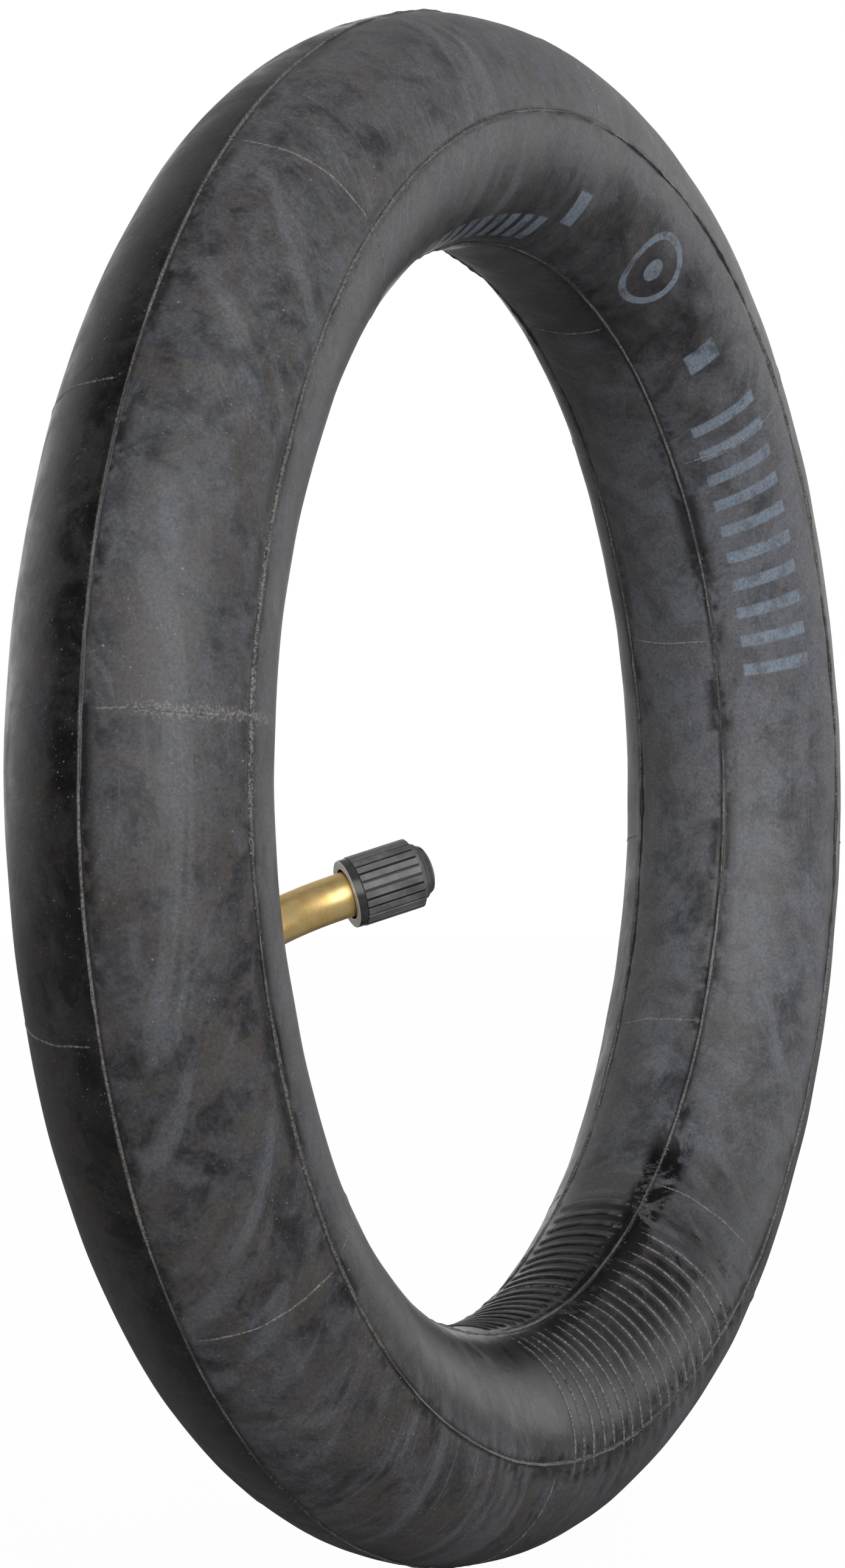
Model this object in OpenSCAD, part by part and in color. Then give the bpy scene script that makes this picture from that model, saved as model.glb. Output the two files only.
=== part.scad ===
// Inner tube for a small pneumatic tyre, with a bent brass valve and a dust cap.
// The ring stands upright: its centre is the origin, its axis is Y, and +Z is up.
// The valve leaves the ring's inner side, and its tip leans towards -Y.

/* [Tube] */
// Outer diameter of the ring
ring_od = 250; // [220:1:320]
// Diameter of the tube's round section
section_d = 38.2; // [34:0.1:50]
// Thickness of the rubber wall
wall_t = 2; // [1.5:0.1:3]
// Diameter of the air hole in the wall, under the valve
air_hole_d = 4; // [3.6:0.1:5]

/* [Valve pad] */
// Diameter of the rubber pad that is bonded to the tube
pad_d = 26; // [24:0.5:30]
// Thickness of the pad at its edge
pad_t = 1.3; // [1:0.1:2]
// Height of the boss round the stem
boss_h = 5.2; // [4:0.1:7]
// Diameter of the boss at its foot
boss_foot_d = 19; // [18:0.5:22]
// Diameter of the boss at its top
boss_top_d = 10; // [9:0.5:12]

/* [Valve stem] */
// Place of the valve round the ring, as an angle from +X towards +Z
valve_angle = 197; // [0:1:359]
// Outer diameter of the stem's neck
neck_d = 7; // [6.4:0.1:7]
// Diameter of the air passage in the stem
bore_d = 3.6; // [3.5:0.1:3.8]
// Height of the bend's corner above the tube
corner_h = 20.5; // [19:0.5:40]
// Angle of the bend
bend_angle = 44; // [30:1:44]
// Radius of the bend along the stem's middle
bend_r = 25.5; // [12:0.5:25.5]
// Angle by which the lean is turned upwards about the stem's foot
lean_turn = 7; // [0:1:10]
// Length from the bend's corner to the stem's mouth
tip_len = 21.3; // [21.3:0.1:26]
// Outer diameter of the thread for the cap and the pump
thread_d = 7.7; // [7.6:0.1:7.8]
// Length of that thread
thread_len = 10.2; // [9:0.1:10.4]
// Diameter of the foot flange
foot_d = 14; // [12:0.5:15]
// Thickness of the foot flange
foot_t = 1.2; // [1:0.1:1.4]

/* [Valve core] */
// Outer diameter of the core's thread
core_d = 5.2; // [5.1:0.05:5.3]
// Depth of the top of the core below the stem's mouth
core_depth = 0.7; // [0.5:0.1:0.9]
// Diameter of the pin
pin_d = 1.1; // [1:0.05:1.2]
// Distance that the pin can be pressed
pin_travel = 1.2; // [0.8:0.1:1.2]
// Number of turns in the spring
spring_turns = 5; // [4:1:5]
// Thickness of the spring's wire
spring_wire_d = 0.25; // [0.2:0.01:0.26]

/* [Dust cap] */
// Outer diameter of the cap over its ribs
cap_d = 10.8; // [10.5:0.1:11]
// Length of the cap from its mouth to its crown
cap_len = 13.5; // [13.5:0.1:14]
// Length of the plain collar at the mouth
collar_len = 1.4; // [1:0.1:2]
// Length of the ribbed stretch
ribs_len = 9.5; // [8:0.1:9.6]
// Number of ribs
rib_count = 24; // [16:1:28]
// Width of the groove between two ribs
groove_w = 0.4; // [0.3:0.05:0.5]
// Depth of the groove
groove_depth = 0.4; // [0.3:0.05:0.5]
// Radial gap between the cap's bore and the thread
cap_play = 0.08; // [0.05:0.01:0.1]

/* [Hidden] */

ring_fn = 160;
tube_fn = 72;
small_fn = 48;
past = 1; // how far a cutter runs past the face that it opens
bond = 0.02; // gap left between two bonded pieces
lap = 0.3; // how far the stem's legs run into the bend
bend_swell = 0.03; // how much thicker than the legs the bend is

section_r = section_d / 2;
ring_r = ring_od / 2 - section_r; // from the ring's centre to the middle of the section
bend_cut = bend_r * tan(bend_angle / 2); // length that the bend takes from each leg

// Heights above the tube's inner side
foot_low = 0.5;
foot_top = foot_low + foot_t;
foot_fillet = 1.3; // height of the cone between the flange and the neck

// Depths below the stem's mouth, from the top of the core down
pin_top = 0.5;
plug_flats_end = core_depth + 1.7;
plug_end = core_depth + 4.5;
barrel_top = plug_end + 0.05;
collar_top = barrel_top + 0.15; // collar on the pin, which the spring pushes on
collar_end = collar_top + 0.45;
shoulder = collar_end + pin_travel + 1.4 * spring_turns * spring_wire_d; // seat of the spring
chamber_end = 6.2; // end of the straight chamber for the core
gasket_top = 6.7;
gasket_end = 8.7;
taper_end = 9.2;
nose_end = 10.2;
seal_top = nose_end + 0.03;
cup_rim = 10.35;
cup_floor = 10.98;
cup_end = 11.7;
pin_end = 12.4;

// Radii inside the core
barrel_bore_r = 1.3;
barrel_collar_r = 2.1;
barrel_groove_r = 1.6;
nose_r = 1.2;
nose_bore_r = 0.85;
cup_r = 1.45;
cup_wall = 0.2;
pin_play = 0.08; // gap between the pin and the plug

// Heights above the stem's mouth
cap_crown = 2.5;
cap_mouth = cap_crown - cap_len;
cap_roof = 1.15; // end of the cap's bore
seal_gap = 0.08;

crown_d = 6.4;
shoulder_d = cap_d - 1.3;

// Radius of the tapered chamber in the stem at a depth below its mouth
function taper_r(depth) =
    core_d / 2 + (bore_d - core_d) / 2 * (depth - chamber_end) / (taper_end - chamber_end);

// A full ring of the given section radius
module ring(radius) {
    rotate([90, 0, 0])
        rotate_extrude($fn = ring_fn)
            translate([ring_r, 0])
                circle(r = radius, $fn = tube_fn);
}

// Places children on the tube's inner side: +Z to the ring's centre, +X to where the stem leans
module at_foot() {
    rotate([0, 270 - valve_angle, 0])
        translate([0, 0, section_r - ring_r])
            rotate([0, 0, -90 - lean_turn])
                children();
}

// Places children at the stem's mouth, with +Z out of it
module at_mouth() {
    at_foot()
        translate([0, 0, corner_h])
            rotate([0, bend_angle, 0])
                translate([0, 0, tip_len])
                    children();
}

// A turned piece between two depths below the stem's mouth
module turned(top, end, r_top, r_end) {
    translate([0, 0, -end])
        cylinder(h = end - top, r1 = r_end, r2 = r_top, $fn = small_fn);
}

module round_bar(top, end, radius) {
    turned(top, end, radius, radius);
}

// A round bar that follows the stem, from a height above the tube to a depth below the mouth.
// The bend is a hair thicker than the straight legs, which run a little way into it.
module bent_bar(radius, low, depth) {
    at_foot() {
        translate([0, 0, low])
            cylinder(h = corner_h - bend_cut + lap - low, r = radius, $fn = small_fn);
        translate([bend_r, 0, corner_h - bend_cut])
            rotate([90, 0, 0])
                rotate([0, 0, 180 - bend_angle])
                    rotate_extrude(angle = bend_angle, $fn = ring_fn)
                        translate([bend_r, 0])
                            circle(r = radius + bend_swell, $fn = small_fn);
    }
    at_mouth()
        round_bar(depth, tip_len - bend_cut + lap, radius);
}

module foot(gap) {
    at_foot() {
        translate([0, 0, foot_low - gap])
            cylinder(h = foot_t + 2 * gap, d = foot_d + 2 * gap, $fn = small_fn);
        translate([0, 0, foot_top])
            cylinder(h = foot_fillet, r1 = neck_d / 2 + foot_fillet, r2 = neck_d / 2 - 0.1, $fn = small_fn);
    }
}

module tube_body() {
    color([0.24, 0.25, 0.27])
        difference() {
            ring(section_r);
            ring(section_r - wall_t);
            at_foot()
                translate([0, 0, -wall_t - past])
                    cylinder(h = wall_t + 2 * past, d = air_hole_d, $fn = small_fn);
        }
}

module valve_base_pad() {
    color([0.14, 0.14, 0.15])
        difference() {
            union() {
                intersection() {
                    ring(section_r + pad_t);
                    at_foot()
                        translate([0, 0, -section_r / 2])
                            cylinder(h = section_r, d = pad_d, $fn = small_fn);
                }
                at_foot()
                    translate([0, 0, -wall_t])
                        cylinder(h = boss_h + wall_t, d1 = boss_foot_d, d2 = boss_top_d, $fn = small_fn);
            }
            ring(section_r + bond);
            foot(bond);
            at_foot() {
                translate([0, 0, -wall_t])
                    cylinder(h = wall_t + foot_top, d = air_hole_d, $fn = small_fn);
                translate([0, 0, foot_top])
                    cylinder(h = boss_h + past, d = neck_d + 2 * bond, $fn = small_fn);
            }
        }
}

module valve_stem() {
    color([0.78, 0.6, 0.28])
        difference() {
            union() {
                foot(0);
                bent_bar(neck_d / 2, foot_low, thread_len - 2 * lap);
                at_mouth() {
                    round_bar(0.5, thread_len - 0.5, thread_d / 2);
                    turned(0, 0.5, thread_d / 2 - 0.5, thread_d / 2);
                    turned(thread_len - 0.5, thread_len, thread_d / 2, neck_d / 2 - 0.1);
                }
            }
            bent_bar(bore_d / 2, foot_low - past, taper_end - lap);
            at_mouth() {
                turned(chamber_end, taper_end, core_d / 2 + bond, bore_d / 2 - bond);
                round_bar(-past, chamber_end + bond, core_d / 2 + bond);
            }
        }
}

module core_plug() {
    color([0.8, 0.66, 0.36])
        at_mouth()
            difference() {
                union() {
                    round_bar(plug_flats_end, plug_end, core_d / 2);
                    intersection() {
                        round_bar(core_depth, plug_flats_end, core_d / 2 - 0.15);
                        translate([-core_d / 2, -core_d / 4, -plug_flats_end])
                            cube([core_d, core_d / 2, plug_flats_end]);
                    }
                }
                round_bar(0, plug_end + past, pin_d / 2 + pin_play);
            }
}

module core_barrel() {
    color([0.74, 0.58, 0.28])
        at_mouth()
            difference() {
                union() {
                    round_bar(barrel_top, gasket_top - 0.05, barrel_collar_r);
                    round_bar(barrel_top, gasket_end + 0.05, barrel_groove_r);
                    turned(gasket_end + 0.05, taper_end, taper_r(gasket_end) - 0.2, taper_r(taper_end) - 0.15);
                    turned(taper_end, nose_end, nose_r + 0.3, nose_r);
                }
                round_bar(barrel_top - past, shoulder, barrel_bore_r);
                round_bar(barrel_top, nose_end + past, nose_bore_r);
            }
}

module core_gasket() {
    color([0.75, 0.2, 0.15])
        at_mouth()
            difference() {
                turned(gasket_top, gasket_end, taper_r(gasket_top) - bond, taper_r(gasket_end) - bond);
                round_bar(gasket_top - past, gasket_end + past, barrel_groove_r + bond);
            }
}

module core_pin() {
    color([0.86, 0.74, 0.45])
        at_mouth() {
            turned(pin_top, pin_top + 0.2, pin_d / 2 - 0.2, pin_d / 2);
            round_bar(pin_top + 0.2, pin_end, pin_d / 2);
            round_bar(collar_top, collar_end, barrel_bore_r - 0.15);
        }
}

module core_seat_cup() {
    color([0.78, 0.62, 0.3])
        at_mouth()
            difference() {
                round_bar(cup_rim, cup_end, cup_r);
                round_bar(cup_rim - past, cup_floor + bond, cup_r - cup_wall);
                round_bar(cup_rim, cup_end + past, pin_d / 2 + bond);
            }
}

module core_seat_seal() {
    color([0.1, 0.1, 0.1])
        at_mouth()
            difference() {
                round_bar(seal_top, cup_floor, cup_r - cup_wall - bond);
                round_bar(seal_top - past, cup_floor + past, pin_d / 2 + bond);
            }
}

module core_spring() {
    steps = 18; // rings in one turn
    sides = 8;
    wire_r = spring_wire_d / 2;
    coil_r = barrel_bore_r - 0.1 - wire_r;
    low = -shoulder + wire_r + bond;
    rise = shoulder - collar_end - 2 * wire_r - 2 * bond;
    last = spring_turns * steps;
    points = [
        for (i = [0:last])
            let (turn = 360 * i / steps, height = low + rise * i / last)
                for (k = [0:sides - 1])
                    let (side = 360 * k / sides, out = coil_r + wire_r * cos(side))
                        [out * cos(turn), out * sin(turn), height + wire_r * sin(side)]
    ];
    skin = [
        for (i = [0:last - 1])
            for (k = [0:sides - 1])
                let (a = i * sides + k, b = i * sides + (k + 1) % sides)
                    each [[a, b, b + sides], [a, b + sides, a + sides]]
    ];
    ends = [
        [for (k = [sides - 1:-1:0]) k],
        [for (k = [0:sides - 1]) last * sides + k]
    ];
    color([0.7, 0.7, 0.72])
        at_mouth()
            polyhedron(points = points, faces = concat(skin, ends));
}

// Outline of the ribbed stretch of the cap
module ribbed_outline() {
    floor_r = cap_d / 2 - groove_depth;
    difference() {
        circle(d = cap_d, $fn = small_fn * 2);
        for (i = [0:rib_count - 1])
            rotate([0, 0, i * 360 / rib_count])
                translate([floor_r, -groove_w / 2])
                    square([groove_depth + past, groove_w]);
    }
}

module cap_shell() {
    ribs_low = cap_mouth + collar_len;
    ribs_top = ribs_low + ribs_len;
    bore_r = thread_d / 2 + cap_play;
    color([0.1, 0.1, 0.11])
        at_mouth()
            difference() {
                union() {
                    translate([0, 0, cap_mouth])
                        cylinder(h = collar_len, r = cap_d / 2 - 0.1, $fn = small_fn);
                    translate([0, 0, ribs_low])
                        linear_extrude(height = ribs_len)
                            ribbed_outline();
                    translate([0, 0, ribs_top])
                        cylinder(h = cap_crown - ribs_top - 1.1, d = shoulder_d, $fn = small_fn);
                    translate([0, 0, cap_crown - 1.1])
                        cylinder(h = 0.7, d1 = shoulder_d, d2 = crown_d + 0.8, $fn = small_fn);
                    translate([0, 0, cap_crown - 0.4])
                        cylinder(h = 0.4, d1 = crown_d + 0.8, d2 = crown_d - 0.8, $fn = small_fn);
                }
                translate([0, 0, cap_mouth - past])
                    cylinder(h = cap_roof - cap_mouth + past, r = bore_r, $fn = small_fn);
            }
}

module cap_seal() {
    color([0.2, 0.2, 0.2])
        at_mouth()
            translate([0, 0, seal_gap])
                cylinder(h = cap_roof - seal_gap - bond, d = thread_d - 0.2, $fn = small_fn);
}

tube_body();
valve_base_pad();
valve_stem();
core_plug();
core_barrel();
core_gasket();
core_pin();
core_seat_cup();
core_seat_seal();
core_spring();
cap_shell();
cap_seal();
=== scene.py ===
import math

import bpy
import numpy as np
from mathutils import Matrix, Vector


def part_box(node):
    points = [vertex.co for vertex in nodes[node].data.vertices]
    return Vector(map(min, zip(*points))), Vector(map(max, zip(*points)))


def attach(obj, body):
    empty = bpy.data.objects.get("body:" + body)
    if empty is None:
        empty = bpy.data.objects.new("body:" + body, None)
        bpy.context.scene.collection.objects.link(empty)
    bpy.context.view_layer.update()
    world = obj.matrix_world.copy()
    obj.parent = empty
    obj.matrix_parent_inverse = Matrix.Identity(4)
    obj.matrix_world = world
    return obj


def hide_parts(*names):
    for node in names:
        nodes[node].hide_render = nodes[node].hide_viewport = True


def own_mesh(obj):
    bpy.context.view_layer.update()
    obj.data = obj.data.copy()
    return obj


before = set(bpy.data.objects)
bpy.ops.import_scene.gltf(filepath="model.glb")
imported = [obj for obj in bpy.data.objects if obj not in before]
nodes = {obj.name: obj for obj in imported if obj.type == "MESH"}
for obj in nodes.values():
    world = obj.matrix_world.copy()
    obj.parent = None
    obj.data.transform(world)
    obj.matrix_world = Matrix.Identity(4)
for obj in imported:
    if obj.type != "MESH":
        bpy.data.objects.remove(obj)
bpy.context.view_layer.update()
print("frame loaded")

mm = 0.001
degree = math.pi / 180


# Node maths: a socket that Python arithmetic can be written with

class Wire:
    def __init__(self, graph, socket):
        self.graph = graph
        self.socket = socket

    def __add__(self, other):
        return self.graph.math("ADD", self, other)

    def __radd__(self, other):
        return self.graph.math("ADD", other, self)

    def __sub__(self, other):
        return self.graph.math("SUBTRACT", self, other)

    def __rsub__(self, other):
        return self.graph.math("SUBTRACT", other, self)

    def __mul__(self, other):
        return self.graph.math("MULTIPLY", self, other)

    def __rmul__(self, other):
        return self.graph.math("MULTIPLY", other, self)

    def __truediv__(self, other):
        return self.graph.math("DIVIDE", self, other)

    def __rtruediv__(self, other):
        return self.graph.math("DIVIDE", other, self)

    def __pow__(self, other):
        return self.graph.math("POWER", self, other)

    def __mod__(self, other):
        return self.graph.math("FLOORED_MODULO", self, other)

    def __abs__(self):
        return self.graph.math("ABSOLUTE", self)


class Graph:
    def __init__(self, tree):
        self.tree = tree

    # one node: its type, its settings, the values or links of its sockets, and the output wanted
    def add(self, kind, settings=None, values=None, out=0):
        node = self.tree.nodes.new(kind)
        for name, value in (settings or {}).items():
            setattr(node, name, value)
        for key, value in (values or {}).items():
            if isinstance(value, Wire):
                self.tree.links.new(value.socket, node.inputs[key])
            else:
                node.inputs[key].default_value = value
        return Wire(self, node.outputs[out]) if node.outputs else None

    def math(self, operation, first, second=None):
        values = {0: first} if second is None else {0: first, 1: second}
        return self.add("ShaderNodeMath", {"operation": operation}, values)

    # the largest of several values at each point
    def most(self, first, *others):
        for other in others:
            first = self.math("MAXIMUM", first, other)
        return first

    def vector(self, operation, first, second=None, out=0):
        values = {0: first} if second is None else {0: first, 1: second}
        return self.add("ShaderNodeVectorMath", {"operation": operation}, values, out)

    def scaled(self, vector, factor):
        return self.add("ShaderNodeVectorMath", {"operation": "SCALE"}, {0: vector, "Scale": factor})

    def split(self, vector):
        first = self.add("ShaderNodeSeparateXYZ", {}, {0: vector})
        return [Wire(self, socket) for socket in first.socket.node.outputs]

    def join(self, x, y, z):
        return self.add("ShaderNodeCombineXYZ", {}, {0: x, 1: y, 2: z})

    # 0 below low, 1 above high, smooth between; low may be the larger one
    def step(self, value, low, high):
        if low > high:
            return 1 - self.step(value, high, low)
        settings = {"interpolation_type": "SMOOTHSTEP"}
        return self.add("ShaderNodeMapRange", settings, {0: value, 1: low, 2: high})

    def between(self, value, low, high, soft):
        return self.step(value, low - soft, low + soft) * self.step(value, high + soft, high - soft)

    def noise(self, vector, scale, detail=3.0, roughness=0.55, distortion=0.0):
        values = {"Vector": vector, "Scale": scale, "Detail": detail, "Roughness": roughness}
        values["Distortion"] = distortion
        return self.add("ShaderNodeTexNoise", {}, values)

    def stretched(self, vector, turns, scale):
        rotation = tuple(angle * degree for angle in turns)
        return self.add("ShaderNodeMapping", {}, {"Vector": vector, "Rotation": rotation, "Scale": scale})

    # 1 on small round specks, for the given share of the cells
    def specks(self, vector, scale, radius, share):
        cell = self.add("ShaderNodeTexVoronoi", {}, {"Vector": vector, "Scale": scale})
        chance = self.add("ShaderNodeTexVoronoi", {}, {"Vector": vector, "Scale": scale}, "Color")
        picked = self.split(chance)[0]
        return self.step(cell, radius, radius * 0.5) * self.step(picked, share, share - 0.02)

    def tint(self, factor, first, second, kind="MIX"):
        settings = {"data_type": "RGBA", "blend_type": kind}
        return self.add("ShaderNodeMix", settings, {0: factor, 6: first, 7: second}, 2)

    def bump(self, height, depth, strength=1.0, normal=None):
        values = {"Height": height, "Distance": depth, "Strength": strength}
        if normal is not None:
            values["Normal"] = normal
        return self.add("ShaderNodeBump", {}, values)


def colour(red, green, blue):
    return (red, green, blue, 1.0)


def newMaterial(name):
    material = bpy.data.materials.new(name)
    material.use_nodes = True
    material.node_tree.nodes.clear()
    return material, Graph(material.node_tree)


def closeMaterial(graph, values):
    shader = graph.add("ShaderNodeBsdfPrincipled", {}, values)
    graph.add("ShaderNodeOutputMaterial", {}, {"Surface": shader})


# Mesh building

def gridFaces(rows, columns, closeRows=True, closeColumns=True):
    down = np.arange(rows if closeRows else rows - 1)
    across = np.arange(columns if closeColumns else columns - 1)
    row, column = np.meshgrid(down, across, indexing="ij")
    nextRow = (row + 1) % rows
    nextColumn = (column + 1) % columns
    corners = (row * columns + column, row * columns + nextColumn,
               nextRow * columns + nextColumn, nextRow * columns + column)
    return np.stack(corners, -1).reshape(-1, 4).tolist()


def innerVolume(points, faces):
    total = 0.0
    for size in (3, 4):
        chosen = np.array([face for face in faces if len(face) == size])
        for corner in range(1, size - 1):
            if len(chosen):
                a, b, c = (points[chosen[:, k]] for k in (0, corner, corner + 1))
                total += np.einsum("ij,ij->i", a, np.cross(b, c)).sum() / 6
    return total


def makePiece(name, points, faces, material, sharpAngle=None):
    points = np.asarray(points, float).reshape(-1, 3)
    if innerVolume(points, faces) < 0:
        faces = [face[::-1] for face in faces]
    mesh = bpy.data.meshes.new(name)
    mesh.from_pydata(points.tolist(), [], faces)
    mesh.materials.append(material)
    mesh.shade_smooth()
    if sharpAngle:
        mesh.set_sharp_from_angle(angle=sharpAngle * degree)
    piece = bpy.data.objects.new(name, mesh)
    bpy.context.scene.collection.objects.link(piece)
    return piece


# A corner list with each corner cut by an arc of the given radius
def roundCorners(corners, steps=4):
    path = []
    for index, (x, y, radius) in enumerate(corners):
        here = np.array((x, y), float)
        if not radius or index in (0, len(corners) - 1):
            path.append(here)
            continue
        before = np.array(corners[index - 1][:2], float) - here
        after = np.array(corners[index + 1][:2], float) - here
        toBefore = before / np.linalg.norm(before)
        toAfter = after / np.linalg.norm(after)
        half = math.acos(np.clip(toBefore @ toAfter, -1, 1)) / 2
        cut = min(radius / math.tan(half), np.linalg.norm(before) * 0.48, np.linalg.norm(after) * 0.48)
        start = here + toBefore * cut
        end = here + toAfter * cut
        for k in range(steps + 1):
            t = k / steps
            path.append(start * (1 - t) ** 2 + here * 2 * t * (1 - t) + end * t ** 2)
    return np.array(path)


# Geometry Nodes

def newTree(name, inputs):
    tree = bpy.data.node_groups.new(name, "GeometryNodeTree")
    for title, kind in inputs.items():
        tree.interface.new_socket(title, in_out="INPUT", socket_type="NodeSocket" + kind)
    tree.interface.new_socket("Shape", in_out="OUTPUT", socket_type="NodeSocketGeometry")
    graph = Graph(tree)
    entry = tree.nodes.new("NodeGroupInput")
    return graph, {title: Wire(graph, entry.outputs[title]) for title in inputs}


def closeTree(graph, shape, material):
    plain = graph.add("GeometryNodeRealizeInstances", {}, {"Geometry": shape})
    smooth = graph.add("GeometryNodeSetShadeSmooth", {}, {"Geometry": plain})
    dressed = graph.add("GeometryNodeSetMaterial", {}, {"Geometry": smooth, "Material": material})
    graph.add("NodeGroupOutput", {}, {0: dressed})
    return graph.tree


# Runs a tree once and keeps its result as a plain mesh
def growPiece(name, tree, values):
    host = bpy.data.objects.new(name + "_host", bpy.data.meshes.new(name + "_host"))
    bpy.context.scene.collection.objects.link(host)
    modifier = host.modifiers.new("grow", "NODES")
    modifier.node_group = tree
    for item in tree.interface.items_tree:
        if item.in_out == "INPUT":
            modifier[item.identifier] = values[item.name]
    grown = host.evaluated_get(bpy.context.evaluated_depsgraph_get())
    mesh = bpy.data.meshes.new_from_object(grown)
    mesh.name = name
    mesh.materials.clear()
    mesh.materials.append(values["Material"])
    bpy.data.objects.remove(host)
    piece = bpy.data.objects.new(name, mesh)
    bpy.context.scene.collection.objects.link(piece)
    return piece


def ridePiece(piece, body, slot, *replaced):
    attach(piece, body)
    if replaced:
        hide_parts(*replaced)
    return piece


# The ring

ringLow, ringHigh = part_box("tube_body")

tube = {
    "outer": ringHigh.x,
    "halfDepth": 18.95 * mm,   # section, from its middle to the tread side
    "halfWidth": 19.4 * mm,    # section, from its middle to the flank
    "turnSteps": 720,
    "sideStep": 4.4,           # degrees between two columns away from the seams
    "seams": (3.4, 84.2, 162.3, 215.8, 282.0),
    "seamColumns": (-0.8, -0.42, -0.24, -0.1, 0, 0.1, 0.24, 0.42, 0.8),
    "seamHeights": (0, -0.05, -0.02, 0.16, 0.28, 0.14, -0.05, -0.1, 0),
}
tube["middle"] = tube["outer"] - tube["halfDepth"]
backSeam = tube["seams"][-1] - 360
sideArc = 19.1 * mm * degree    # length of one degree across the section


# Soft dents and swellings of the rubber, in metres; side enters in whole turns only, so it closes
def unevenness(turn, side):
    swell = 0.11 * np.sin(3 * turn + 0.7) * np.cos(2 * side)
    swell += 0.09 * np.sin(7 * turn + 0.2 + side)
    swell += 0.05 * np.sin(13 * turn + 3.5 - 2 * side)
    swell += 0.035 * np.sin(29 * turn + 1.6 + 3 * side)
    swell += 0.025 * np.sin(47 * turn + 0.4 - side) * np.cos(side + 2.0)
    return swell * mm


def seamWander(turn, order):
    phase = 1.9 * order
    drift = 0.5 * np.sin(5 * turn + phase) + 0.3 * np.sin(17 * turn + 2 * phase)
    return drift + 0.12 * np.sin(61 * turn + phase) + 0.1 * np.sin(137 * turn + 3 * phase)


def seamStrength(turn, order):
    phase = 2.7 * order
    rough = 0.85 + 0.3 * np.sin(23 * turn + phase) + 0.25 * np.sin(71 * turn + 2 * phase)
    return np.clip(rough + 0.2 * np.sin(173 * turn + phase), 0.25, 1.5)


def ringPoint(turn, side, lift):
    reach = tube["middle"] + (tube["halfDepth"] + lift) * np.cos(side)
    depth = -(tube["halfWidth"] + lift) * np.sin(side)
    return np.stack((reach * np.cos(turn), depth, reach * np.sin(turn)), -1)


def makeSkin(material):
    sides = []
    lifts = []
    orders = []
    ends = list(tube["seams"])
    for order, seam in enumerate(ends):
        last = ends[order - 1] if order else backSeam
        gap = seam - last
        margin = 1.4 * mm / sideArc
        count = max(2, round((gap - 2 * margin) / tube["sideStep"]))
        for side in np.linspace(last + margin, seam - margin, count + 1):
            sides.append(side)
            lifts.append(0.0)
            orders.append(-1)
        for offset, height in zip(tube["seamColumns"], tube["seamHeights"]):
            sides.append(seam + offset * mm / sideArc)
            lifts.append(height * mm)
            orders.append(order)
    turn = np.linspace(0, 2 * math.pi, tube["turnSteps"], endpoint=False)[:, None]
    side = np.array(sides)[None, :] + np.zeros_like(turn)
    lift = np.zeros_like(side)
    for order, seam in enumerate(ends):
        away = (np.array(sides) - seam + 180) % 360 - 180
        side = side + seamWander(turn, order) * np.exp(-(away / 7.0) ** 2)[None, :]
        own = np.array([lifts[k] if orders[k] == order else 0.0 for k in range(len(sides))])
        lift = lift + own[None, :] * seamStrength(turn, order)
    side = side * degree
    lift = lift + unevenness(turn, side)
    points = ringPoint(turn, side, lift)
    skin = makePiece("tube_skin", points, gridFaces(points.shape[0], points.shape[1]), material)
    return skin


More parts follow.
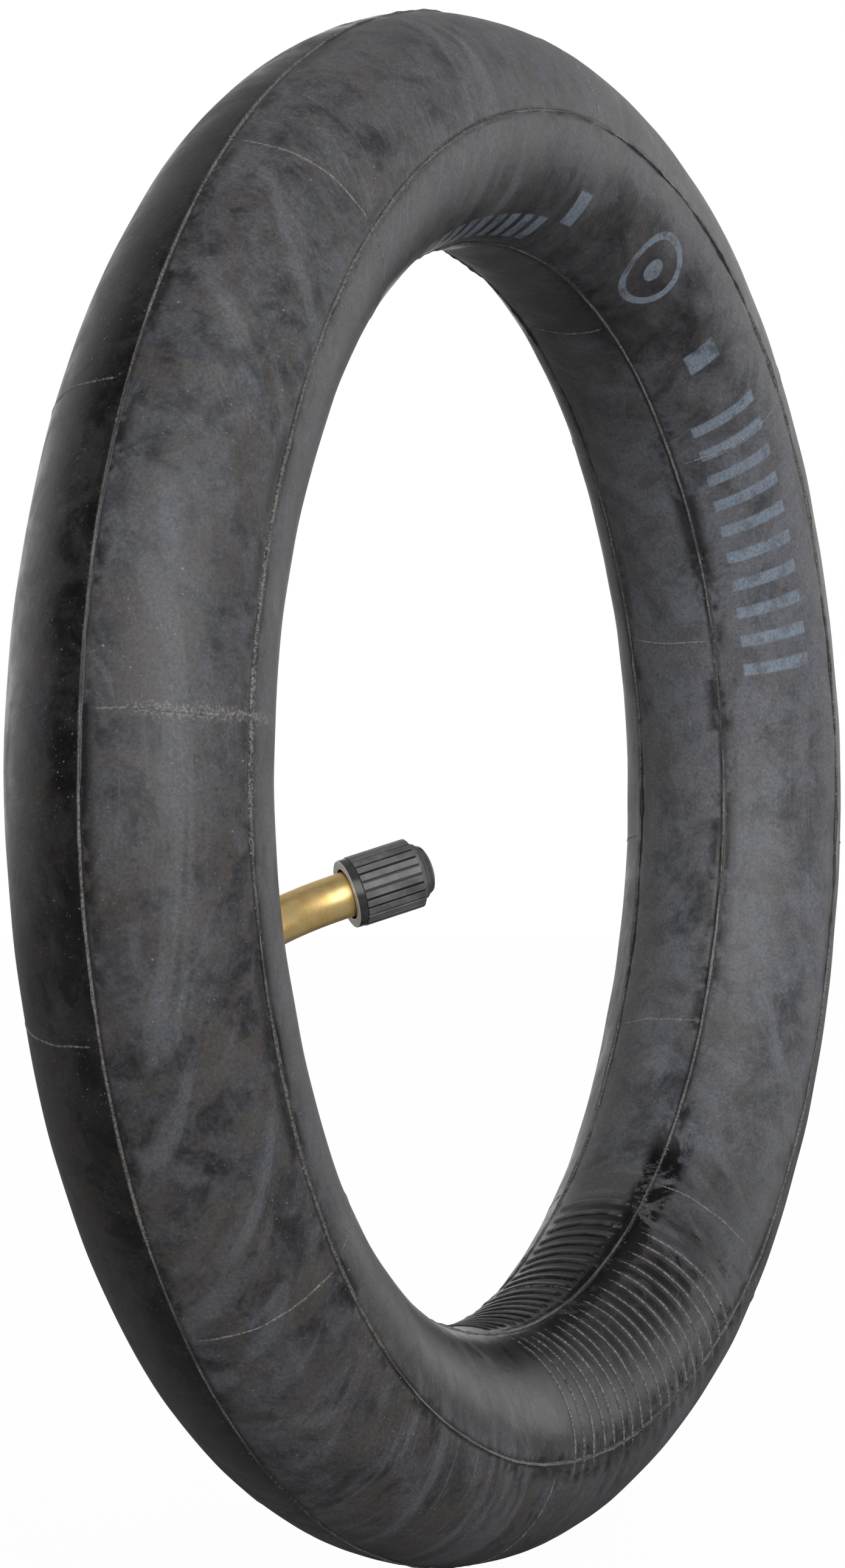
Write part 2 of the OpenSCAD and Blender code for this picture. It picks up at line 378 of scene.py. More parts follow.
# Thin raised lines across the section: each follows the skin from one side angle to another
def crossLineTree():
    graph, given = newTree("crossLines", {
        "Skin": "Object", "Count": "Int", "First": "Float", "Step": "Float", "From": "Float", "To": "Float",
        "Jitter": "Float", "Ragged": "Float", "Lumps": "Float", "Thickness": "Float", "Sink": "Float",
        "Seed": "Int", "Material": "Material"})
    line = graph.add("GeometryNodeCurvePrimitiveLine", {"mode": "POINTS"}, {"End": (1.0, 0.0, 0.0)})
    fine = graph.add("GeometryNodeResampleCurve", {}, {"Curve": line, "Count": 56})
    copies = graph.add("GeometryNodeDuplicateElements", {"domain": "SPLINE"},
                       {"Geometry": fine, "Amount": given["Count"]})
    index = Wire(graph, copies.socket.node.outputs["Duplicate Index"])

    def chance(shift):
        return graph.add("FunctionNodeRandomValue", {"data_type": "FLOAT"},
                         {2: -1.0, 3: 1.0, "ID": index, "Seed": given["Seed"] + shift}, 1)

    along = graph.add("GeometryNodeSplineParameter", out="Factor")
    start = given["From"] + chance(1) * given["Ragged"]
    end = given["To"] + chance(2) * given["Ragged"]
    wave = graph.math("SINE", along * 9 + index * 2.1) * 0.3 + graph.math("SINE", along * 23 + index) * 0.12
    turn = (given["First"] + given["Step"] * index + given["Jitter"] * (chance(3) + wave)) * degree
    side = (start + (end - start) * along) * degree
    sideCos = graph.math("COSINE", side)
    sideSin = graph.math("SINE", side)
    reach = tube["middle"] + tube["halfDepth"] * sideCos
    turnCos = graph.math("COSINE", turn)
    turnSin = graph.math("SINE", turn)
    rough = graph.join(reach * turnCos, -tube["halfWidth"] * sideSin, reach * turnSin)
    outward = graph.join(sideCos * turnCos, -1.0 * sideSin, sideCos * turnSin)
    skin = graph.add("GeometryNodeObjectInfo", {}, {"Object": given["Skin"]}, "Geometry")
    nearest = graph.add("GeometryNodeProximity", {"target_element": "FACES"},
                        {0: skin, "Source Position": rough}, "Position")
    place = graph.vector("ADD", nearest, graph.scaled(outward, -1.0 * given["Sink"]))
    laid = graph.add("GeometryNodeSetPosition", {}, {"Geometry": copies, "Position": place})
    taper = graph.step(along, 0.0, 0.12) * graph.step(along, 1.0, 0.88)
    lumps = given["Lumps"] * (graph.math("SINE", along * 41 + index * 5) - 1)
    thick = given["Thickness"] * (1 + lumps) * (0.25 + 0.75 * taper)
    circle = graph.add("GeometryNodeCurvePrimitiveCircle", {"mode": "RADIUS"},
                       {"Resolution": 8, "Radius": 1.0})
    shape = graph.add("GeometryNodeCurveToMesh", {},
                      {"Curve": laid, "Profile Curve": circle, "Scale": thick, "Fill Caps": True})
    return closeTree(graph, shape, given["Material"])


crossLines = {
    # name: lines, first turn, step, from side, to side, jitter, ragged, thickness, sink, lumps
    "vents_flank": (8, -5.0, 45.0, 4.0, 84.0, 0.25, 0.3, 0.3, 0.17, 0.1),
    "vents_flank_inner": (4, 40.0, 90.0, 84.6, 161.5, 0.35, 0.4, 0.26, 0.15, 0.1),
    "vents_inner": (8, 17.5, 45.0, 162.6, 215.4, 0.2, 0.4, 0.3, 0.16, 0.1),
    "vents_tread": (8, 17.5, 45.0, -77.5, 3.0, 0.25, 0.3, 0.28, 0.16, 0.1),
    "vents_back": (8, -5.0, 45.0, 216.4, 281.6, 0.25, 0.3, 0.28, 0.16, 0.1),
    "grip_ribs_inner": (20, 268.3, 1.98, 164.0, 214.8, 0.12, 0.8, 0.92, 0.56, 0.0),
    "grip_ribs_flank": (18, 268.5, 1.98, 77.0, 161.0, 0.12, 3.0, 0.32, 0.13, 0.1),
}


def makeCrossLines(skin, plain, dusty):
    tree = crossLineTree()
    for seed, (name, numbers) in enumerate(crossLines.items()):
        count, first, step, start, end, jitter, ragged, thickness, sink, lumps = numbers
        piece = growPiece(name, tree, {
            "Skin": skin, "Count": count, "First": first, "Step": step, "From": start, "To": end,
            "Jitter": jitter, "Ragged": ragged, "Lumps": lumps, "Thickness": thickness * mm,
            "Sink": sink * mm, "Seed": 11 + seed, "Material": dusty if lumps else plain})
        ridePiece(piece, "tube", "tube_rubber")


# Rubber finish

rubber = {
    "deep": colour(0.009, 0.009, 0.010),
    "grey": colour(0.090, 0.091, 0.100),
    "brown": colour(0.072, 0.059, 0.051),
    "hazeAndLightTone": colour(0.180, 0.186, 0.210),
    "talc": colour(0.42, 0.40, 0.37),
    "ink": colour(0.235, 0.285, 0.35),
    "stainAndShadeTone": colour(0.004, 0.004, 0.004),
    "roughness": 0.46,
    "gloss": 0.42,
}


# Side and turn angles of the ring in degrees, from the place of each point
def ringAngles(graph, place):
    x, y, z = graph.split(place)
    reach = (x * x + z * z) ** 0.5
    turn = (graph.math("ARCTAN2", z, x) / degree) % 360
    side = graph.math("ARCTAN2", y / -tube["halfWidth"], (reach - tube["middle"]) / tube["halfDepth"])
    return turn, (side / degree - backSeam) % 360 + backSeam


# Places on the ring: turns are degrees round it, sides are degrees across its section
places = {
    "treadSeam": 3.5,
    "flankSeam": 84.2,
    "crownSide": 160.0,        # middle of the black band along the crown seam
    "whiteVent": 175.0,        # turn of the vent line that holds talc
    "ribsStart": 266.0,
    "ribsEnd": 307.0,
    "ribsLow": 74.0,
    "ribsHigh": 215.5,
    "ribFirst": 268.4,
    "ribStep": 1.98,
}

# Plain pale marks in place of print: bars, two squares, a ring with a dot, and a row of short bars
marks = {
    "bars": {"first": 13.65, "step": 3.3, "half": 0.66, "turns": (12.0, 45.0), "sides": (108.0, 148.0)},
    "squares": {"first": 51.8, "step": 33.0, "half": 1.3, "turns": (49.0, 86.0), "sides": (118.0, 137.0)},
    "row": {"first": 89.55, "step": 3.1, "half": 0.95, "turns": (88.0, 116.0), "sides": (137.0, 154.0)},
    "emblemTurn": 66.5,
    "emblemSide": 126.0,
    "emblemRing": (5.6, 7.0),
    "emblemDot": (2.2, 2.0),
    "turnLength": 1.72,        # millimetres in a degree of turn and of side, where the emblem is
    "sideLength": 0.334,
    "worn": 0.65,
}


# A row of bars: the first one's middle, the step to the next, half of a bar's width, and the row's limits
def barMask(graph, turn, side, row):
    half = row["step"] / 2
    toBar = abs((turn - row["first"] + half) % row["step"] - half)
    bars = graph.step(toBar, row["half"] + 0.12, row["half"] - 0.12)
    return bars * graph.between(turn, *row["turns"], 0.05) * graph.between(side, *row["sides"], 0.7)


def inkMask(graph, place, turn, side):
    rows = [barMask(graph, turn, side, marks[name]) for name in ("bars", "squares", "row")]
    across = (turn - marks["emblemTurn"]) * marks["turnLength"]
    down = (side - marks["emblemSide"]) * marks["sideLength"]
    away = (across * across + down * down) ** 0.5
    emblem = graph.between(away, *marks["emblemRing"], 0.12) + graph.step(away, *marks["emblemDot"])
    kept = graph.step(graph.noise(place, 260.0, 5.0, 0.7), 0.36, 0.52)
    return graph.most(*rows, emblem) * (1 - marks["worn"] * (1 - kept))


# 1 along every seam in sight, fading out at the given width in millimetres
def seamMask(graph, side, place, width, drift):
    wobble = (graph.noise(place, 120.0, 2.0) - 0.5) * drift
    masks = []
    for seam in tube["seams"][:-1]:
        away = abs(side + wobble - seam) * (sideArc / mm)
        masks.append(graph.step(away, width, width * 0.25))
    return graph.most(*masks)


# Long wiped streaks in three directions
def wipeMask(graph, place):
    first = graph.noise(graph.stretched(place, (0, 38, 0), (95, 30, 11)), 1.0, 4.0, 0.55, 0.6)
    second = graph.noise(graph.stretched(place, (0, -52, 0), (120, 30, 12)), 1.0, 4.0, 0.55, 0.6)
    third = graph.noise(graph.stretched(place, (0, 8, 0), (150, 40, 16)), 1.0, 4.0, 0.55, 0.9)
    return graph.most(graph.step(first, 0.55, 0.64), graph.step(second, 0.56, 0.68),
                      graph.step(third, 0.58, 0.74))


# Fine scratches in patches
def scuffMask(graph, place):
    hair = graph.noise(graph.stretched(place, (10, 30, 0), (1900, 90, 60)), 1.0, 2.0, 0.6)
    area = graph.step(graph.noise(place, 30.0, 2.0), 0.48, 0.64)
    return graph.step(hair, 0.56, 0.72) * area


# Black smears between and round the ribs, painted shade in the gaps between the ribs, and painted shade low
# down on the inner side, broken up by mottling
def blotAndShadeMask(graph, place, turn, side, height, mottle):
    ribs = graph.between(turn, places["ribsStart"], places["ribsEnd"], 2.5)
    ribs = ribs * graph.between(side, places["ribsLow"], places["ribsHigh"], 3.0)
    toRib = abs((turn - places["ribFirst"]) % places["ribStep"] - places["ribStep"] / 2)
    gap = graph.step(toRib, 0.7, 0.35)
    inner = graph.step(side, 161.0, 165.0)
    smears = graph.noise(place, 95.0, 6.0, 0.74, 1.2)
    middle = graph.between(turn, 276.0, 304.0, 8.0) * graph.between(side, 92.0, 152.0, 14.0)
    spots = graph.step(smears, 0.52, 0.56) * ribs + graph.step(smears, 0.43, 0.47) * middle
    # the smears are stronger in the gaps between ribs, partly painted shade
    spots = graph.math("MINIMUM", spots, 1.0) * (0.5 + 0.5 * gap)
    # painted shade in the gaps between the ribs
    ribGapShade = ribs * gap * (0.5 + 0.5 * inner)
    crown = graph.step(abs(side - places["crownSide"]), 15.0, 7.0) * graph.between(turn, 272.0, 318.0, 5.0)
    crown = crown * graph.step(smears, 0.4, 0.5)
    # painted shade: darker low down on the inner side
    lowerShade = graph.step(height, -50 * mm, -100 * mm) * graph.step(side, 84.0, 100.0)
    lowerShade = lowerShade * (0.35 + 0.45 * graph.step(mottle, 0.42, 0.56))
    return graph.most(spots, ribGapShade, crown, lowerShade)


# Talc along the seams, on one vent line and in specks
def talcMask(graph, place, turn, side, across, extraTalc):
    powder = graph.noise(place, 2400.0, 3.0, 0.7)
    vent = abs(turn - places["whiteVent"] + (graph.noise(place, 90.0, 2.0) - 0.5) * 0.8)
    ventNear = graph.step(vent, 1.25, 0.0) * graph.between(side, 22.0, 108.0, 18.0)
    ventTalc = graph.step(powder + ventNear * 0.27, 0.66, 0.88)
    crossing = graph.step(abs(turn - (places["whiteVent"] - 1)), 26.0, 5.0)
    crossing = crossing * graph.step(abs(side - places["flankSeam"]), 30.0, 10.0)
    along = 0.18 + 0.3 * graph.step(graph.noise(place, 26.0, 2.0), 0.42, 0.58) + 0.42 * crossing
    seamLine = seamMask(graph, side, place, 0.3, 0.15) * (0.25 + 0.75 * graph.step(powder, 0.38, 0.56))
    seamTalc = graph.step(powder + seamMask(graph, side, place, 1.15, 0.4) * along * 0.32, 0.68, 0.86)
    left = graph.step(across, 70 * mm, -90 * mm)
    cloudy = graph.step(graph.noise(place, 60.0, 3.0), 0.38, 0.6)
    large = graph.specks(place, 300.0, 0.075, 0.22) * 0.55
    small = graph.specks(place, 760.0, 0.13, 0.3) * 0.5 * (0.3 + 0.7 * cloudy)
    tiny = graph.specks(place, 1700.0, 0.24, 0.22) * 0.3 * cloudy
    specks = graph.most(large, small, tiny) * (0.4 + 0.6 * left)
    talc = graph.most(seamTalc * 0.55, seamLine * 0.42, ventTalc * 0.5, specks)
    if extraTalc:
        talc = graph.most(talc, graph.step(powder, 0.36, 0.66) * extraTalc)
    return talc


def rubberFinish(name, extraTalc=0.0, marked=True):
    material, graph = newMaterial(name)
    place = graph.add("ShaderNodeTexCoord", out="Object")
    turn, side = ringAngles(graph, place)
    across, _, height = graph.split(place)
    tread = graph.step(side, places["treadSeam"] + 0.3, places["treadSeam"] - 0.3)
    # painted shade: marks the top and bottom of the inner side, where the colour is darkened and less haze
    # is laid
    innerShadeZone = graph.step(side, 100.0, 135.0) * graph.step(abs(height), 55 * mm, 82 * mm)

    # clouds of bluish, brownish and darker rubber
    clouds = graph.noise(place, 42.0, 6.0, 0.62, 0.9)
    mottle = graph.noise(place, 150.0, 6.0, 0.72, 0.5)
    fineMottle = graph.noise(place, 430.0, 4.0, 0.72, 0.4)
    patches = graph.noise(graph.stretched(place, (20, 40, 10), (1.4, 1, 1)), 70.0, 5.0, 0.65, 1.4)
    grain = graph.noise(place, 1900.0, 3.0, 0.75)
    mixed = graph.step(clouds, 0.42, 0.58) * 0.42 + graph.step(mottle, 0.43, 0.57) * 0.36
    mixed = mixed + graph.step(fineMottle, 0.44, 0.57) * 0.22
    base = graph.tint(mixed, rubber["deep"], rubber["grey"])
    base = graph.tint(graph.step(patches, 0.46, 0.57) * 0.8, base, rubber["brown"])

    # haze of talc, mottled and lighter towards the top, with painted light on the right side; less haze in
    # the painted shade at the top and bottom of the inner side, and on the tread
    upper = graph.step(height, -120 * mm, 110 * mm)
    # painted light: more of the pale haze tone on the right-hand part of the ring's inner side
    right = graph.step(across, -30 * mm, 95 * mm) * graph.between(side, 90.0, 200.0, 14.0)
    hazeAndPaintedLight = (0.1 + 0.16 * upper + 0.34 * right) * (0.45 + 1.1 * graph.step(mottle, 0.3, 0.7))
    base = graph.tint(hazeAndPaintedLight * (1 - innerShadeZone * 0.75) * (1 - tread * 0.8), base, rubber["hazeAndLightTone"])
    wipes = wipeMask(graph, place)
    scuffs = scuffMask(graph, place)
    base = graph.tint((wipes * 0.42 + scuffs * 0.3) * (1 - tread * 0.6), base, rubber["hazeAndLightTone"])

    # black stains beside the seams, on the tread side and round the ribs, with painted shade on the inner
    # side and between the ribs
    seamStain = graph.step(graph.noise(place, 75.0, 4.0, 0.7), 0.48, 0.58)
    seamStain = seamStain * seamMask(graph, side, place, 3.2, 3.0)
    treadStain = tread * (0.45 + 0.55 * graph.step(side, -26.0, -3.0))
    treadStain = treadStain * (0.75 + 0.25 * graph.step(mottle, 0.6, 0.4))
    # painted shade on the inner side, broken into clouds
    innerPaintedShade = innerShadeZone * graph.step(clouds, 0.65, 0.35)
    blotsAndShade = blotAndShadeMask(graph, place, turn, side, height, mottle)
    stainsAndShade = graph.most(seamStain * 0.8, blotsAndShade, treadStain * 0.95, innerPaintedShade * 0.7)
    seamShadow = seamMask(graph, side, place, 1.0, 0.4)
    # stains and painted shade darken the colour together
    base = graph.tint(graph.most(stainsAndShade, seamShadow * 0.7), base, rubber["stainAndShadeTone"])

    if marked:
        base = graph.tint(inkMask(graph, place, turn, side) * 0.85, base, rubber["ink"])
    talc = talcMask(graph, place, turn, side, across, extraTalc)
    base = graph.tint(talc, base, rubber["talc"])
    base = graph.tint(1.0, base, 0.2 + 1.6 * grain, "MULTIPLY")

    roughness = rubber["roughness"] + (clouds - 0.5) * 0.3 + (mottle - 0.5) * 0.5
    roughness = roughness + wipes * 0.08 + talc * 0.3 - stainsAndShade * 0.2
    relief = graph.bump(grain, 0.03 * mm, 0.55)
    relief = graph.bump(mottle + patches + wipes * 0.1, 0.25 * mm, 0.35, relief)
    relief = graph.bump(scuffs, 0.03 * mm, 0.4, relief)
    closeMaterial(graph, {"Base Color": base, "Roughness": roughness, "Normal": relief,
                          "Specular IOR Level": rubber["gloss"]})
    return material


# The valve: heights are above the tube's inner side, depths are below the stem's mouth

stem = {
    "turn": 197.0,            # place round the ring
    "cornerHeight": 20.5,
    "bendAngle": 44.0,
    "leanTurn": 7.0,          # how far the lean is turned upwards about the foot
    "bendRadius": 25.5,
    "tipLength": 21.3,
    "neckRadius": 3.5,
    "boreRadius": 1.8,
    "footRadius": 7.0,
    "footLow": 0.5,
    "footTop": 1.7,
    "coneTop": 3.0,
    "threadLength": 10.2,
    "threadRadius": 3.85,
    "threadCore": 3.42,
    "threadPitch": 0.794,
    "coreRadius": 2.62,
    "chamberEnd": 6.2,
    "taperEnd": 9.2,
    "roundSteps": 64,
}

valveTurn = stem["turn"] * degree
inward = Vector((-math.cos(valveTurn), 0, -math.sin(valveTurn)))
leanTurn = stem["leanTurn"] * degree
front = Vector((0, -1, 0))
lean = front * math.cos(leanTurn) - inward.cross(front) * math.sin(leanTurn)
cadInnerReach = (ringHigh.x - (ringHigh.y - ringLow.y)) / mm
footPoint = inward * (-cadInnerReach * mm)
bendAngle = stem["bendAngle"] * degree
bendCut = stem["bendRadius"] * math.tan(bendAngle / 2)
tipDirection = inward * math.cos(bendAngle) + lean * math.sin(bendAngle)
tipSide = tipDirection.cross(inward).normalized()
mouth = footPoint + inward * stem["cornerHeight"] * mm + tipDirection * stem["tipLength"] * mm


# Turns a list of (radius, height) about an axis; a list that starts and ends on the axis gets poles
def spinPiece(name, outline, origin, axis, across, material, steps=64, sharpAngle=32):
    other = axis.cross(across)
    outline = np.array(outline, float)
    angles = np.linspace(0, 2 * math.pi, steps, endpoint=False)
    ring = np.cos(angles)[:, None] * np.array(across) + np.sin(angles)[:, None] * np.array(other)
    poled = outline[0, 0] == 0 and outline[-1, 0] == 0
    rows = outline[1:-1] if poled else outline
    heights = rows[:, 1, None, None] * np.array(axis)
    points = np.array(origin) + mm * (rows[:, 0, None, None] * ring + heights)
    faces = gridFaces(len(rows), steps, not poled, True)
    points = points.reshape(-1, 3)
    if poled:
        ends = [np.array(origin) + mm * outline[k, 1] * np.array(axis) for k in (0, -1)]
        points = np.concatenate((points, ends))
        first, last = len(points) - 2, len(points) - 1
        base = (len(rows) - 1) * steps
        for k in range(steps):
            following = (k + 1) % steps
            faces.append([first, following, k])
            faces.append([last, base + k, base + following])
    return makePiece(name, points, faces, material, sharpAngle)


# Middle line of the stem at a length from the tube's inner side, with its direction
def stemLine(length):
    straight = stem["cornerHeight"] - bendCut
    arc = stem["bendRadius"] * bendAngle
    if length <= straight:
        return footPoint + inward * length * mm, inward
    if length >= straight + arc:
        start = footPoint + inward * stem["cornerHeight"] * mm + tipDirection * bendCut * mm
        return start + tipDirection * (length - straight - arc) * mm, tipDirection
    angle = (length - straight) / stem["bendRadius"]
    centre = footPoint + (inward * straight + lean * stem["bendRadius"]) * mm
    out = -lean * math.cos(angle) + inward * math.sin(angle)
    return centre + out * stem["bendRadius"] * mm, inward * math.cos(angle) + lean * math.sin(angle)


stemLength = stem["cornerHeight"] + stem["tipLength"] - 2 * bendCut + stem["bendRadius"] * bendAngle


def makeStem(material):
    bendStart = stem["cornerHeight"] - bendCut
    bendEnd = bendStart + stem["bendRadius"] * bendAngle
    threadStart = stemLength - stem["threadLength"]
    bends = list(np.linspace(bendStart, bendEnd, 25))
    neck = stem["neckRadius"]
    outside = [(stem["footLow"], stem["footRadius"] - 0.1), (stem["footLow"] + 0.1, stem["footRadius"]),
               (stem["footTop"] - 0.1, stem["footRadius"]), (stem["footTop"], stem["footRadius"] - 0.1),
               (stem["footTop"], neck + 1.3), (stem["footTop"] + 0.5, neck + 0.55), (stem["coneTop"], neck)]
    outside += [(length, neck) for length in (6, *bends)]
    outside += [(threadStart, neck), (threadStart + 0.3, stem["threadCore"])]
    outside += [(stemLength - 0.45, stem["threadCore"]), (stemLength, stem["threadCore"] - 0.35)]
    inside = [(stemLength, stem["coreRadius"] + 0.15), (stemLength - 0.15, stem["coreRadius"]),
              (stemLength - stem["chamberEnd"], stem["coreRadius"]),
              (stemLength - stem["taperEnd"], stem["boreRadius"])]
    inside += [(length, stem["boreRadius"]) for length in reversed(bends)]
    inside += [(6, stem["boreRadius"]), (stem["footLow"], stem["boreRadius"])]
    angles = np.linspace(0, 2 * math.pi, stem["roundSteps"], endpoint=False)
    rings = []
    for length, radius in outside + inside:
        centre, direction = stemLine(length)
        upright = tipSide.cross(direction)
        turned = np.cos(angles)[:, None] * np.array(tipSide) + np.sin(angles)[:, None] * np.array(upright)
        rings.append(np.array(centre) + turned * radius * mm)
    return makePiece("stem_brass", rings, gridFaces(len(rings), len(angles)), material, 32)


# One wire wound on a round core: the stem's thread and the core's spring
def spiralTree():
    graph, given = newTree("woundWire", {
        "Origin": "Vector", "Across": "Vector", "Other": "Vector", "Axis": "Vector", "Points": "Int",
        "Turns": "Float", "Radius": "Float", "Length": "Float", "Thickness": "Float", "Fade": "Float",
        "Sides": "Int", "Material": "Material"})
    line = graph.add("GeometryNodeCurvePrimitiveLine", {"mode": "POINTS"}, {"End": (1.0, 0.0, 0.0)})
    fine = graph.add("GeometryNodeResampleCurve", {}, {"Curve": line, "Count": given["Points"]})
    along = graph.add("GeometryNodeSplineParameter", out="Factor")
    angle = along * given["Turns"] * (2 * math.pi)
    level = along * given["Length"]
    place = graph.vector("ADD", given["Origin"], graph.scaled(given["Axis"], level))
    cosine = graph.math("COSINE", angle) * given["Radius"]
    sine = graph.math("SINE", angle) * given["Radius"]
    place = graph.vector("ADD", place, graph.scaled(given["Across"], cosine))
    place = graph.vector("ADD", place, graph.scaled(given["Other"], sine))
    laid = graph.add("GeometryNodeSetPosition", {}, {"Geometry": fine, "Position": place})
    fade = given["Fade"]
    ends = graph.add("ShaderNodeMapRange", {"interpolation_type": "SMOOTHSTEP"}, {0: along, 1: 0.0, 2: fade})
    ends = ends * graph.add("ShaderNodeMapRange", {"interpolation_type": "SMOOTHSTEP"},
                            {0: 1 - along, 1: 0.0, 2: fade})
    circle = graph.add("GeometryNodeCurvePrimitiveCircle", {"mode": "RADIUS"},
                       {"Resolution": given["Sides"], "Radius": 1.0})
    thick = given["Thickness"] * (0.05 + 0.95 * ends)
    shape = graph.add("GeometryNodeCurveToMesh", {},
                      {"Curve": laid, "Profile Curve": circle, "Scale": thick, "Fill Caps": True})
    return closeTree(graph, shape, given["Material"])


spring = {
    "turns": 5.0,
    "wireRadius": 0.125,
    "coilRadius": 1.075,      # to the middle of the wire
    "seatDepth": 8.8,         # depth of the shoulder that it stands on
    "topDepth": 5.85,         # depth of the pin's collar, which it pushes
    "keep": 0.59,
}


def makeWoundWires(brass, steel):
    tree = spiralTree()
    shared = {"Across": tipSide, "Other": tipDirection.cross(tipSide), "Axis": tipDirection}
    threadTurns = (stem["threadLength"] - 0.9) / stem["threadPitch"]
    thread = growPiece("stem_thread", tree, {
        **shared, "Origin": mouth - tipDirection * (stem["threadLength"] - 0.45) * mm,
        "Points": 600, "Turns": threadTurns, "Radius": (stem["threadRadius"] - 0.34) * mm,
        "Length": (stem["threadLength"] - 0.9) * mm, "Thickness": 0.34 * mm, "Fade": 0.05,
        "Sides": 6, "Material": brass})
    ridePiece(thread, "tube", "stem_brass")
    room = spring["seatDepth"] - spring["topDepth"] - 2 * spring["wireRadius"] - 0.04
    low = spring["seatDepth"] - spring["wireRadius"] - 0.02
    coil = growPiece("core_coil", tree, {
        **shared, "Origin": mouth - tipDirection * low * mm, "Points": 240, "Turns": spring["turns"],
        "Radius": spring["coilRadius"] * mm, "Length": room * mm,
        "Thickness": spring["wireRadius"] * mm, "Fade": 0.001, "Sides": 10, "Material": steel})
    ridePiece(coil, "tube", "spring_steel", "core_spring")
    seat = mouth - tipDirection * spring["seatDepth"] * mm
    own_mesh(coil)


pad = {
    "radius": 13.0,
    "thickness": 1.3,
    "bossFoot": 9.5,
    "bossTop": 5.0,
    "bossHeight": 5.2,
    "holeRadius": 3.52,
    "lipRadius": 3.75,        # where the hole's rounded edge ends
    "edgeRadius": 10.6,       # from here its flat part thins towards its edge
    "steps": 96,
    "sunk": 0.35,             # how far its underside sits in the skin
}


# Height of the pad above the skin at a distance from the stem's middle
def padHeight(away):
    outwards = max(0.0, (away - pad["edgeRadius"]) / (pad["radius"] - pad["edgeRadius"]))
    edge = pad["thickness"] * (1 - outwards ** 2)
    if away >= pad["bossFoot"]:
        return edge
    t = (pad["bossFoot"] - away) / (pad["bossFoot"] - pad["bossTop"])
    rise = min(t, 1.0)
    smooth = rise * rise * (2.2 - 1.2 * rise)
    return pad["thickness"] + (pad["bossHeight"] - pad["thickness"]) * smooth


def makePad(material):
    tangent = inward.cross(front)
    reach = [pad["holeRadius"], pad["lipRadius"], 4.3, 4.85, 5.1, 5.4, 5.9, 6.5, 7.1, 7.7, 8.3, 8.9, 9.5,
             10.2, 10.8, 11.5, 12.2, 12.7, pad["radius"]]
    angles = np.linspace(0, 2 * math.pi, pad["steps"], endpoint=False)

    def ringAt(away, height):
        y = away * np.cos(angles) * mm
        x = away * np.sin(angles) * mm
        bulge = np.sqrt(1 - (y / tube["halfWidth"]) ** 2)
        fromAxis = np.sqrt((tube["middle"] - tube["halfDepth"] * bulge) ** 2 - x ** 2)
        level = fromAxis - height * mm
        sideways = y[:, None] * np.array(front) + x[:, None] * np.array(tangent)
        return -np.array(inward) * level[:, None] + sideways

    tops = [ringAt(reach[0], pad["bossHeight"] - 0.25)]
    tops += [ringAt(away, padHeight(away) - (0.12 if away == pad["lipRadius"] else 0)) for away in reach[1:]]
    unders = [ringAt(away, -pad["sunk"]) for away in (pad["radius"] + 0.02, 11, 9, 7, 5, pad["holeRadius"])]
    faces = gridFaces(len(tops) + len(unders), pad["steps"])
    piece = makePiece("valve_pad", tops + unders, faces, material, 50)
    return ridePiece(piece, "tube", "pad_rubber", "valve_base_pad")


# The dust cap: heights are above the stem's mouth

cap = {
    "radius": 5.4,
    "collarRadius": 5.3,
    "floorRadius": 5.0,      # between the ribs
    "mouthHeight": -11.0,
    "collarLength": 1.4,
    "ribsLength": 9.5,
    "crown": 2.5,
    "boreRadius": 3.93,
    "roof": 1.15,
    "ribs": 24,
    "ribWidth": 1.0,
}


def ribTree():
    graph, given = newTree("capRibs", {
        "Count": "Int", "Radius": "Float", "Size": "Vector", "Level": "Float", "Origin": "Vector",
        "Across": "Vector", "Other": "Vector", "Axis": "Vector", "Material": "Material"})
    circle = graph.add("GeometryNodeMeshCircle", {}, {"Vertices": given["Count"], "Radius": given["Radius"]})
    index = graph.add("GeometryNodeInputIndex")
    spin = graph.join(0.0, 0.0, index * (2 * math.pi) / given["Count"])
    rib = graph.add("GeometryNodeMeshCube", {}, {"Size": given["Size"]})
    ribs = graph.add("GeometryNodeInstanceOnPoints", {},
                     {"Points": circle, "Instance": rib, "Rotation": spin})
    whole = graph.add("GeometryNodeRealizeInstances", {}, {"Geometry": ribs})
    x, y, z = graph.split(graph.add("GeometryNodeInputPosition"))
    place = graph.vector("ADD", given["Origin"], graph.scaled(given["Across"], x))
    place = graph.vector("ADD", place, graph.scaled(given["Other"], y))
    place = graph.vector("ADD", place, graph.scaled(given["Axis"], z + given["Level"]))
    laid = graph.add("GeometryNodeSetPosition", {}, {"Geometry": whole, "Position": place})
    flat = graph.add("GeometryNodeSetMaterial", {}, {"Geometry": laid, "Material": given["Material"]})
    graph.add("NodeGroupOutput", {}, {0: flat})
    return graph.tree


